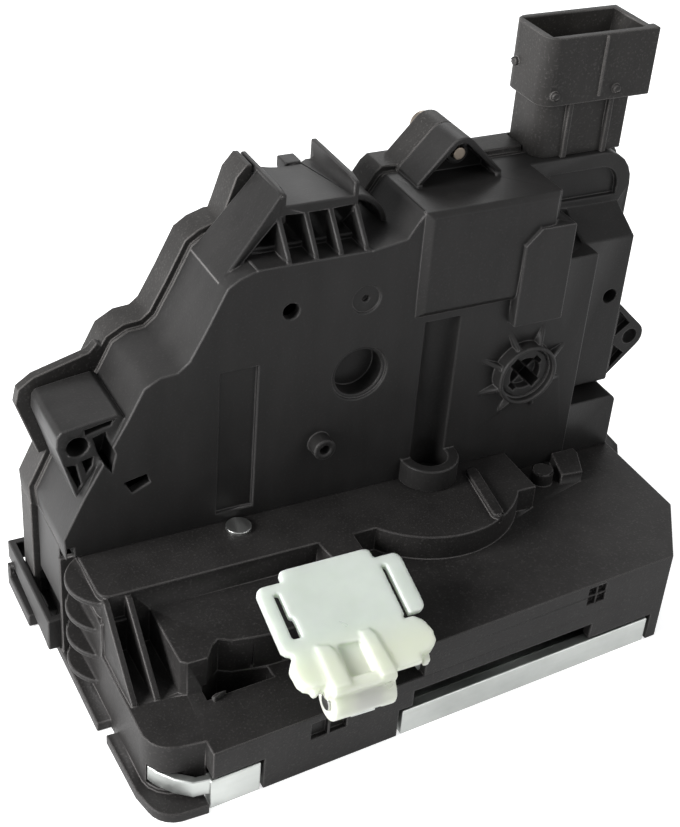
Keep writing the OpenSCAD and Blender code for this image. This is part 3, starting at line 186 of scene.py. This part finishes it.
def moulded(name, colour, rough, grain=1.0, bloom=0.3, round_r=0.4, grain_size=2200, edge_highlight=12.0,
        gloss=0.13):
    """Filled nylon: a fine spark-eroded grain, cloudy flow marks and edges made paler by a painted highlight.
    """
    material, tree, bsdf = shell(name, Specular_IOR_Level=gloss)
    where = place(tree)
    fine = noise(tree, where, grain_size, 3)
    coarse = noise(tree, where, grain_size / 4, 2)
    cloud = noise(tree, where, 28, 4, 0.6)
    flow = noise(tree, place(tree, (1, 1, 0.25)), 160, 3, 0.6)
    normal, edge = edge_mask(tree, round_r * MM)
    tone = tree.math("ADD", tree.math("MULTIPLY", cloud, 0.6), tree.math("MULTIPLY", flow, 0.4))
    base = tree.blend(tree.ramp(tone, 0.35, 0.65, 0, 1), scaled(colour, 1 - bloom),
        scaled(colour, 1 + bloom))
    flecks = tree.ramp(fine, 0.56, 0.72, 0, min(1, 0.4 * grain))
    base = tree.blend(flecks, base, scaled(colour, 2.4))
    # Painted highlight: edges are made paler where they would catch the light.
    base = tree.blend(tree.math("MULTIPLY", edge, 0.6), base, scaled(colour, edge_highlight))
    tree.join(base, bsdf.inputs["Base Color"])
    tree.join(tree.ramp(cloud, 0.3, 0.7, rough - 0.07, rough + 0.09), bsdf.inputs["Roughness"])
    bump = tree.add("ShaderNodeBump", Strength=min(1, 0.3 * grain), Distance=0.06 * MM)
    tree.join(tree.math("ADD", fine, tree.math("MULTIPLY", coarse, 0.7)), bump.inputs["Height"])
    tree.join(normal, bump.inputs["Normal"])
    tree.join(bump.outputs["Normal"], bsdf.inputs["Normal"])
    return material


def metal(name, colour, rough, along=(1, 1, 1), spangle=0.12, round_r=0.3, line_scale=900):
    """Steel or brass: fine drawn lines along one axis, cloudy plating and edges brightened by a painted
    highlight.
    """
    material, tree, bsdf = shell(name, metallic=1.0)
    lines = noise(tree, place(tree, along), line_scale, 2)
    cloud = noise(tree, place(tree), 60, 4, 0.65)
    normal, edge = edge_mask(tree, round_r * MM)
    base = tree.blend(tree.ramp(cloud, 0.3, 0.7, 0, 1), scaled(colour, 1 - spangle),
        scaled(colour, 1 + spangle))
    # Painted highlight: edges are brightened where they would catch the light.
    base = tree.blend(tree.math("MULTIPLY", edge, 0.5), base, scaled(colour, 1.25))
    tree.join(base, bsdf.inputs["Base Color"])
    spread = tree.math("ADD", tree.math("MULTIPLY", cloud, 0.5), tree.math("MULTIPLY", lines, 0.5))
    tree.join(tree.ramp(spread, 0.3, 0.7, rough - 0.08, rough + 0.12), bsdf.inputs["Roughness"])
    bump = tree.add("ShaderNodeBump", Strength=0.12, Distance=0.03 * MM)
    tree.join(lines, bump.inputs["Height"])
    tree.join(normal, bump.inputs["Normal"])
    tree.join(bump.outputs["Normal"], bsdf.inputs["Normal"])
    return material


WARM_FROM_Y = -38  # mm; the clip's lower body, which lies in shade, gets a warmer painted shade tint past this, fully at the next
WARM_FULL_Y = -44


def nylon(name, colour):
    """Undyed nylon: milky, light passes into it, thin edges glow and also carry a painted highlight, and the
    surface is smooth.
    """
    material, tree, bsdf = shell(name, Subsurface_Weight=0.7, Subsurface_Scale=0.005, Transmission_Weight=0.2,
        IOR=1.53)
    bsdf.inputs["Subsurface Radius"].default_value = (1.0, 1.1, 0.9)
    where = place(tree)
    cloud = noise(tree, where, 90, 3, 0.6)
    fine = noise(tree, where, 900, 2)
    normal, edge = edge_mask(tree, 0.35 * MM)
    base = tree.blend(tree.ramp(cloud, 0.35, 0.65, 0, 1), scaled(colour, 0.94), scaled(colour, 1.04))
    split = tree.add("ShaderNodeSeparateXYZ")
    tree.join(where, split.inputs["Vector"])
    # Painted shade: the lower body, which lies in shade, is tinted warmer towards the barrel.
    shade_tint = tree.ramp(split.outputs["Y"], WARM_FROM_Y * MM, WARM_FULL_Y * MM, 0, 0.8)
    base = tree.blend(shade_tint, base, (colour[0] * 1.08, colour[1] * 1.01, colour[2] * 0.93))
    # Painted highlight: edges are made a little lighter where they would catch the light.
    base = tree.blend(tree.math("MULTIPLY", edge, 0.5), base, scaled(colour, 1.14))
    tree.join(base, bsdf.inputs["Base Color"])
    tree.join(tree.ramp(cloud, 0.3, 0.7, 0.26, 0.4), bsdf.inputs["Roughness"])
    bump = tree.add("ShaderNodeBump", Strength=0.1, Distance=0.05 * MM)
    tree.join(fine, bump.inputs["Height"])
    tree.join(normal, bump.inputs["Normal"])
    tree.join(bump.outputs["Normal"], bsdf.inputs["Normal"])
    return material


looks = {
    "zinc_steel": metal("zinc_steel", (0.43, 0.445, 0.43), 0.40, along=(0.15, 1, 1)),
    "turned_steel": metal("turned_steel", (0.46, 0.465, 0.455), 0.34, along=(1, 0.15, 1)),
    "hard_steel": metal("hard_steel", (0.45, 0.45, 0.45), 0.36),
    "spring_steel": metal("spring_steel", (0.55, 0.55, 0.54), 0.28, line_scale=2500),
    "black_plastic": moulded("black_plastic", (0.0150, 0.0145, 0.0143), 0.42, grain=0.9),
    "grey_plastic": moulded("grey_plastic", (0.0205, 0.0195, 0.0188), 0.5, grain=2.2),
    "claw_plastic": moulded("claw_plastic", (0.03, 0.03, 0.035), 0.5, grain=0.5),
    "natural_nylon": nylon("natural_nylon", (0.64, 0.71, 0.63)),
    "buffer_rubber": moulded("buffer_rubber", (0.02, 0.02, 0.02), 0.75, grain=1.6),
    "carrier_plastic": moulded("carrier_plastic", (0.04, 0.04, 0.045), 0.4, grain=0.5),
    "contact_brass": metal("contact_brass", (0.83, 0.66, 0.32), 0.25, along=(1, 1, 0.2)),
    "motor_can": metal("motor_can", (0.62, 0.62, 0.61), 0.34, along=(1, 1, 0.1)),
    "white_acetal": moulded("white_acetal", (0.78, 0.78, 0.74), 0.35, grain=0.4, bloom=0.04, edge_highlight=1.05),
    "slider_plastic": moulded("slider_plastic", (0.08, 0.08, 0.08), 0.35, grain=0.4),
    "switch_plastic": moulded("switch_plastic", (0.07, 0.07, 0.07), 0.4, grain=0.5),
}


# Nodes whose finish differs a little from the rest of their slot
own_looks = {
    "latch_housing": moulded("black_plastic_grained", (0.0158, 0.0150, 0.0147), 0.47, grain=2.0),
    "housing_screws": metal("waxed_steel", (0.20, 0.17, 0.14), 0.42),
}


def look_of(node):
    """A node's own look, or else that of its slot."""
    return own_looks.get(node, looks[slot_of[node]])


def dress(obj, look):
    """Gives an object its look in each of its material slots."""
    if not obj.material_slots:
        obj.data.materials.append(look)
    for material_slot in obj.material_slots:
        material_slot.material = look


slot_of = {entry["node"]: entry["material_slot"] for entry in record["subparts"]}
body_of = {node: body for body, held in record["behaviour"]["bodies"].items() for node in held}
for name in slot_of:
    dress(nodes[name], look_of(name))


def add_piece(name, mesh, node):
    """Adds a piece that stands for a CAD node and moves with the node's body."""
    piece = bpy.data.objects.new(name, mesh)
    scene.collection.objects.link(piece)
    mesh.materials.clear()
    mesh.materials.append(look_of(node))
    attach(piece, body_of[node])
    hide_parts(node)


def shaped(bm, name, modifiers):
    """The mesh that a bmesh gives after a list of modifiers."""
    mesh = bpy.data.meshes.new(name)
    bm.to_mesh(mesh)
    bm.free()
    temp = bpy.data.objects.new(name, mesh)
    scene.collection.objects.link(temp)
    for kind, values in modifiers:
        modifier = temp.modifiers.new(kind.lower(), kind)
        for key, value in values.items():
            setattr(modifier, key, value)
    bpy.context.view_layer.update()
    done = bpy.data.meshes.new_from_object(temp.evaluated_get(bpy.context.evaluated_depsgraph_get()))
    done.name = name
    bpy.data.objects.remove(temp)
    return done


# Numbers of the rounded copies
SAME_POINT = 0.002 * MM  # corners nearer than this are one corner
WELD_DIST = 0.02 * MM  # slivers that the rounding leaves are closed up to this
FLAT_DEG = 0.5  # triangles that lean less than this make one flat face


def softened(node, radius_mm, steps=2, sharp_deg=33):
    """A node's shape with the small round edges that a mould or a press leaves on it."""
    bm = bmesh.new()
    bm.from_mesh(nodes[node].data)
    bmesh.ops.remove_doubles(bm, verts=bm.verts, dist=SAME_POINT)
    bmesh.ops.join_triangles(bm, faces=bm.faces, angle_face_threshold=math.radians(FLAT_DEG),
        angle_shape_threshold=math.radians(180))
    weight = bm.edges.layers.float.new("bevel_weight_edge")
    for face in bm.faces:
        face.smooth = True
    for edge in bm.edges:
        if not edge.is_manifold or edge.calc_face_angle() < math.radians(sharp_deg):
            continue
        if edge.is_convex:
            edge[weight] = 1.0
        else:
            edge.smooth = False
    rounding = dict(width=radius_mm * MM, segments=steps, limit_method="WEIGHT", use_clamp_overlap=False)
    mesh = shaped(bm, node + "_rounded", [("BEVEL", rounding), ("WELD", dict(merge_threshold=WELD_DIST)),
        ("WEIGHTED_NORMAL", dict(keep_sharp=True))])
    add_piece(node + "_rounded", mesh, node)


for node_name, radius in (("backplate", 0.3), ("connector_housing", 0.25), ("front_cover", 0.3),
        ("rear_housing", 0.25), ("latch_housing", 0.25), ("cable_bracket", 0.3), ("key_hub", 0.2)):
    softened(node_name, radius)


# The white clip: a moulded plate with two sprung wings, hooks and a barrel round its pin
CLIP_PIN = Vector((0, -46.2, 19.6))
CLIP_SLOPE = math.radians(20.4)
CLIP_LEFT = -43.9  # ends of the barrel
CLIP_RIGHT = -31.0
EYE_LEFT = -39.35  # room for the lever's eye
EYE_RIGHT = -33.85
EYE_ROOM_R = 3.15
BARREL_R = 3.75
BARREL_BORE_R = 1.7
PLATE_LOW = 4.1  # the plate's two faces, out from the pin, and its upper end
PLATE_TOP = 5.9
PLATE_END = 24.4
BODY_LOW = 2.5  # underside of the lower body
CUT_LOW = 1  # how deep and how high the through cuts reach
CUT_HIGH = 9
NECK_Y = (-49.3, -42.6)  # room for the lever's neck below its eye
NECK_Z = (11.0, 18.6)
FINE_VOXEL = 0.22 * MM  # joins the slabs into one skin
SKIN_VOXEL = 0.3 * MM  # rounds the cut edges
KEPT_FACES = 0.4  # share of the faces that stay


def clip_point(x, up, out):
    """A point in mm from its place across, up the plate and out of it."""
    return Vector((x, CLIP_PIN.y + up * math.cos(CLIP_SLOPE) - out * math.sin(CLIP_SLOPE),
        CLIP_PIN.z + up * math.sin(CLIP_SLOPE) + out * math.cos(CLIP_SLOPE))) * MM


def clip_slab(bm, outline, low, top):
    """A slab on the clip with an outline of (x, up) points, closed and facing out."""
    floor = [bm.verts.new(clip_point(x, up, low)) for x, up in outline]
    roof = [bm.verts.new(clip_point(x, up, top)) for x, up in outline]
    bm.faces.new(roof)
    bm.faces.new(floor[::-1])
    for k in range(len(outline)):
        n = (k + 1) % len(outline)
        bm.faces.new((floor[k], floor[n], roof[n], roof[k]))


def clip_rod(bm, x0, x1, radius, sides=32):
    """A round bar across the clip, round its pin."""
    rings = []
    for x in (x0, x1):
        angles = [2 * math.pi * k / sides for k in range(sides)]
        rings.append([bm.verts.new(clip_point(x, radius * math.cos(a), radius * math.sin(a)))
            for a in angles])
    bm.faces.new(rings[0][::-1])
    bm.faces.new(rings[1])
    for k in range(sides):
        n = (k + 1) % sides
        bm.faces.new((rings[0][k], rings[0][n], rings[1][n], rings[1][k]))


def tool(name, bm):
    """A shape for a Boolean modifier to cut with; it is removed again once it has cut."""
    bmesh.ops.recalc_face_normals(bm, faces=bm.faces)
    mesh = bpy.data.meshes.new(name)
    bm.to_mesh(mesh)
    bm.free()
    obj = bpy.data.objects.new(name, mesh)
    scene.collection.objects.link(obj)
    return obj


def make_clip():
    """The clip's full shape, and the shapes of its slots and its bore, not yet cut."""
    body = bmesh.new()
    low, top, end = PLATE_LOW, PLATE_TOP, PLATE_END
    # Plate with round corners, and its two wings
    clip_slab(body, [(-44.6, 0), (-25.2, 0), (-25.2, end), (-25.6, end + 0.7), (-26.4, end + 1),
        (-43.5, end + 1), (-44.3, end + 0.7), (-44.6, end)], low, top)
    clip_slab(body, [(-50.2, 9.6), (-49.6, 8.8), (-48.9, 8.4), (-44, 8.4), (-44, end - 1.4),
        (-49.1, end - 1.4), (-49.9, end - 1.9), (-50.2, end - 2.8)], low, top)
    clip_slab(body, [(-26, 9.9), (-20.9, 9.9), (-20.1, 10.4), (-19.8, 11.2), (-19.8, end - 2.8),
        (-20.2, end - 1.9), (-20.9, end - 1.4), (-26, end - 1.4)], low, top)
    # Lower body with its rounded left lobe, right hook and the teeth below them
    clip_slab(body, [(-49.4, 3.2), (-48.6, 1.9), (-47.2, 1.2), (-43, 0.9), (-43, 8.8), (-46.4, 9.4),
        (-48.4, 8.2), (-49.6, 6.2)], BODY_LOW, top - 0.1)
    clip_slab(body, [(-47.4, 0.3), (-46.2, 0.3), (-45.8, 3), (-47.6, 3)], BODY_LOW, 4.6)
    clip_slab(body, [(-45.0, -0.9), (-43.6, -0.9), (-43, 3), (-45.4, 3)], BODY_LOW, 4.6)
    clip_slab(body, [(-26.8, 1.0), (-21.9, 2.2), (-20.9, 3.3), (-20.6, 5.4), (-21.4, 7.8), (-22.9, 9.2),
        (-26.8, 9.2)], BODY_LOW, top)
    clip_slab(body, [(-24.4, 0.1), (-23.2, 0.1), (-22.8, 3), (-25, 3)], BODY_LOW, 4.8)
    clip_slab(body, [(-46, 0.8), (-26, 0.8), (-26, 8), (-46, 8)], BODY_LOW, 5.1)
    clip_slab(body, [(CLIP_LEFT, -1.4), (CLIP_RIGHT, -1.4), (CLIP_RIGHT, 7), (CLIP_LEFT, 7)], 0.2, top - 0.3)
    clip_slab(body, [(CLIP_LEFT, 5), (CLIP_RIGHT, 5), (CLIP_RIGHT, 12), (CLIP_LEFT, 12)], 0.2, low + 0.7)
    # Ridges on both sides of the thin middle
    clip_slab(body, [(-43.9, -0.6), (-40.2, -0.6), (-40.6, 6.6), (-41.4, 8), (-43.9, 8.6)], low, top + 0.45)
    clip_slab(body, [(-34.2, -0.9), (-31.0, -0.9), (-31.8, 7.6), (-32.6, 9), (-34.6, 9)], low, top + 0.45)
    clip_rod(body, CLIP_LEFT, CLIP_RIGHT, BARREL_R)
    # Slots of the wings, the hook's gap, the thin middle and the bore
    cuts = bmesh.new()
    clip_slab(cuts, [(-47.3, 11.2), (-45.3, 11.2), (-45.3, 15.2), (-46.1, 15.8), (-46.1, end - 3.4),
        (-47.3, end - 3.4)], CUT_LOW, CUT_HIGH)
    clip_slab(cuts, [(-24.6, 9.3), (-23.5, 9.3), (-23.5, end - 3.4), (-24.6, end - 3.4)], CUT_LOW, CUT_HIGH)
    clip_slab(cuts, [(-27, 9.35), (-19, 9.35), (-19, 9.85), (-23.6, 9.85), (-24, 9.6), (-27, 9.6)],
        CUT_LOW, CUT_HIGH)
    clip_slab(cuts, [(-40.0, 1.2), (-34.9, 0.8), (-35.1, 7.4), (-39.6, 7.8)], top - 1.1, CUT_HIGH)
    clip_rod(cuts, CLIP_LEFT - 1, CLIP_RIGHT + 1, BARREL_BORE_R)
    return body, cuts


def drop_bubbles(mesh):
    """Leaves the largest closed surface of a mesh and removes small ones inside it."""
    bm = bmesh.new()
    bm.from_mesh(mesh)
    groups = []
    todo = set(bm.verts)
    while todo:
        front = [todo.pop()]
        group = set(front)
        while front:
            vert = front.pop()
            for edge in vert.link_edges:
                other = edge.other_vert(vert)
                if other in todo:
                    todo.remove(other)
                    group.add(other)
                    front.append(other)
        groups.append(group)
    groups.sort(key=len)
    for group in groups[:-1]:
        bmesh.ops.delete(bm, geom=list(group), context="VERTS")
    bm.to_mesh(mesh)
    bm.free()


def clip_piece():
    """The clip as one moulded skin with melted edges, cut free round the lever's eye and neck."""
    body, cuts = make_clip()
    bmesh.ops.recalc_face_normals(body, faces=body.faces)
    cutter = tool("clip_cuts", cuts)
    eye = bmesh.new()
    clip_rod(eye, EYE_LEFT, EYE_RIGHT, EYE_ROOM_R)
    round_room = tool("clip_eye_room", eye)
    neck = bmesh.new()
    corners = [Vector((x, y, z)) * MM
        for x in (EYE_LEFT, EYE_RIGHT) for y in NECK_Y for z in NECK_Z]
    bmesh.ops.convex_hull(neck, input=[neck.verts.new(c) for c in corners])
    window = tool("clip_neck_room", neck)
    mesh = shaped(body, "rod_clip_moulded", [("REMESH", dict(mode="VOXEL", voxel_size=FINE_VOXEL)),
        ("BOOLEAN", dict(operation="DIFFERENCE", object=cutter, solver="EXACT")),
        ("BOOLEAN", dict(operation="DIFFERENCE", object=round_room, solver="EXACT")),
        ("BOOLEAN", dict(operation="DIFFERENCE", object=window, solver="EXACT")),
        ("REMESH", dict(mode="VOXEL", voxel_size=SKIN_VOXEL, use_smooth_shade=True)),
        ("SMOOTH", dict(factor=0.5, iterations=3)), ("DECIMATE", dict(ratio=KEPT_FACES)),
        ("WEIGHTED_NORMAL", dict(keep_sharp=True))])
    for helper in (cutter, round_room, window):
        bpy.data.objects.remove(helper)
    drop_bubbles(mesh)
    add_piece("rod_clip_moulded", mesh, "rod_clip")


clip_piece()


# Light: a pale room, white to the camera and in reflections, and three soft lamps
def background_rays(some_tree):
    """1 on the rays that show the white background: camera, glossy and transmission rays."""
    path = some_tree.add("ShaderNodeLightPath")
    straight = some_tree.math("MAXIMUM", path.outputs["Is Camera Ray"], path.outputs["Is Transmission Ray"])
    return some_tree.math("MAXIMUM", straight, path.outputs["Is Glossy Ray"])


ROOM_STRENGTH = 0.33  # the room's light on the lock
WALL_STRENGTH = 1.0  # the white that the camera sees
FLOOR_GLOW = 0.62

world = bpy.data.worlds.new("studio")
scene.world = world
tree = Tree(world)
world_out = tree.add("ShaderNodeOutputWorld")
seen = background_rays(tree)
room_light = tree.add("ShaderNodeBackground", Color=(0.95, 0.97, 1, 1), Strength=ROOM_STRENGTH)
white_wall = tree.add("ShaderNodeBackground", Color=(1, 1, 1, 1), Strength=WALL_STRENGTH)
mix = tree.add("ShaderNodeMixShader")
tree.join(seen, mix.inputs["Fac"])
tree.join(room_light.outputs[0], mix.inputs[1])
tree.join(white_wall.outputs[0], mix.inputs[2])
tree.join(mix.outputs[0], world_out.inputs["Surface"])


def lamp(name, place_mm, aim_mm, size_mm, watts):
    """A round white lamp that shines from one point to another."""
    data = bpy.data.lights.new(name, "AREA")
    data.shape = "DISK"
    data.size = size_mm * MM
    data.energy = watts
    obj = bpy.data.objects.new(name, data)
    obj.location = Vector(place_mm) * MM
    obj.rotation_euler = (Vector(place_mm) - Vector(aim_mm)).to_track_quat("Z", "Y").to_euler()
    scene.collection.objects.link(obj)


lamp("key", (-670, 0, 300), (-20, 0, 45), 380, 11.6)
lamp("fill", (300, -360, 380), (20, 0, 60), 300, 0.8)
lamp("back", (260, 520, 520), (0, 0, 60), 420, 1.4)


# Pale floor, white to the camera, with the lock's shadow on it
def floor_material():
    """A pale matt material that glows only on the rays that show the white background."""
    material = bpy.data.materials.new("floor")
    floor_tree = Tree(material)
    out = floor_tree.add("ShaderNodeOutputMaterial")
    diffuse = floor_tree.add("ShaderNodeBsdfDiffuse", Color=(0.9, 0.9, 0.9, 1))
    glow = floor_tree.add("ShaderNodeEmission", Color=(1, 1, 1, 1), Strength=FLOOR_GLOW)
    both = floor_tree.add("ShaderNodeAddShader")
    plain = floor_tree.add("ShaderNodeMixShader")
    floor_tree.join(diffuse.outputs[0], both.inputs[0])
    floor_tree.join(glow.outputs[0], both.inputs[1])
    floor_tree.join(background_rays(floor_tree), plain.inputs["Fac"])
    floor_tree.join(diffuse.outputs[0], plain.inputs[1])
    floor_tree.join(both.outputs[0], plain.inputs[2])
    floor_tree.join(plain.outputs[0], out.inputs["Surface"])
    return material


FLOOR_HALF = 0.9  # m; a wider floor turns grey far from the lamps
FLOOR_GAP = 0.05 * MM


def make_floor():
    """A square floor just under the lock."""
    mesh = bpy.data.meshes.new("floor")
    half, z = FLOOR_HALF, cad_box[0][2] - FLOOR_GAP
    corners = [(-half, -half, z), (half, -half, z), (half, half, z), (-half, half, z)]
    mesh.from_pydata(corners, [], [(0, 1, 2, 3)])
    obj = bpy.data.objects.new("floor", mesh)
    scene.collection.objects.link(obj)
    mesh.materials.append(floor_material())


make_floor()

scene.view_settings.view_transform = "Standard"
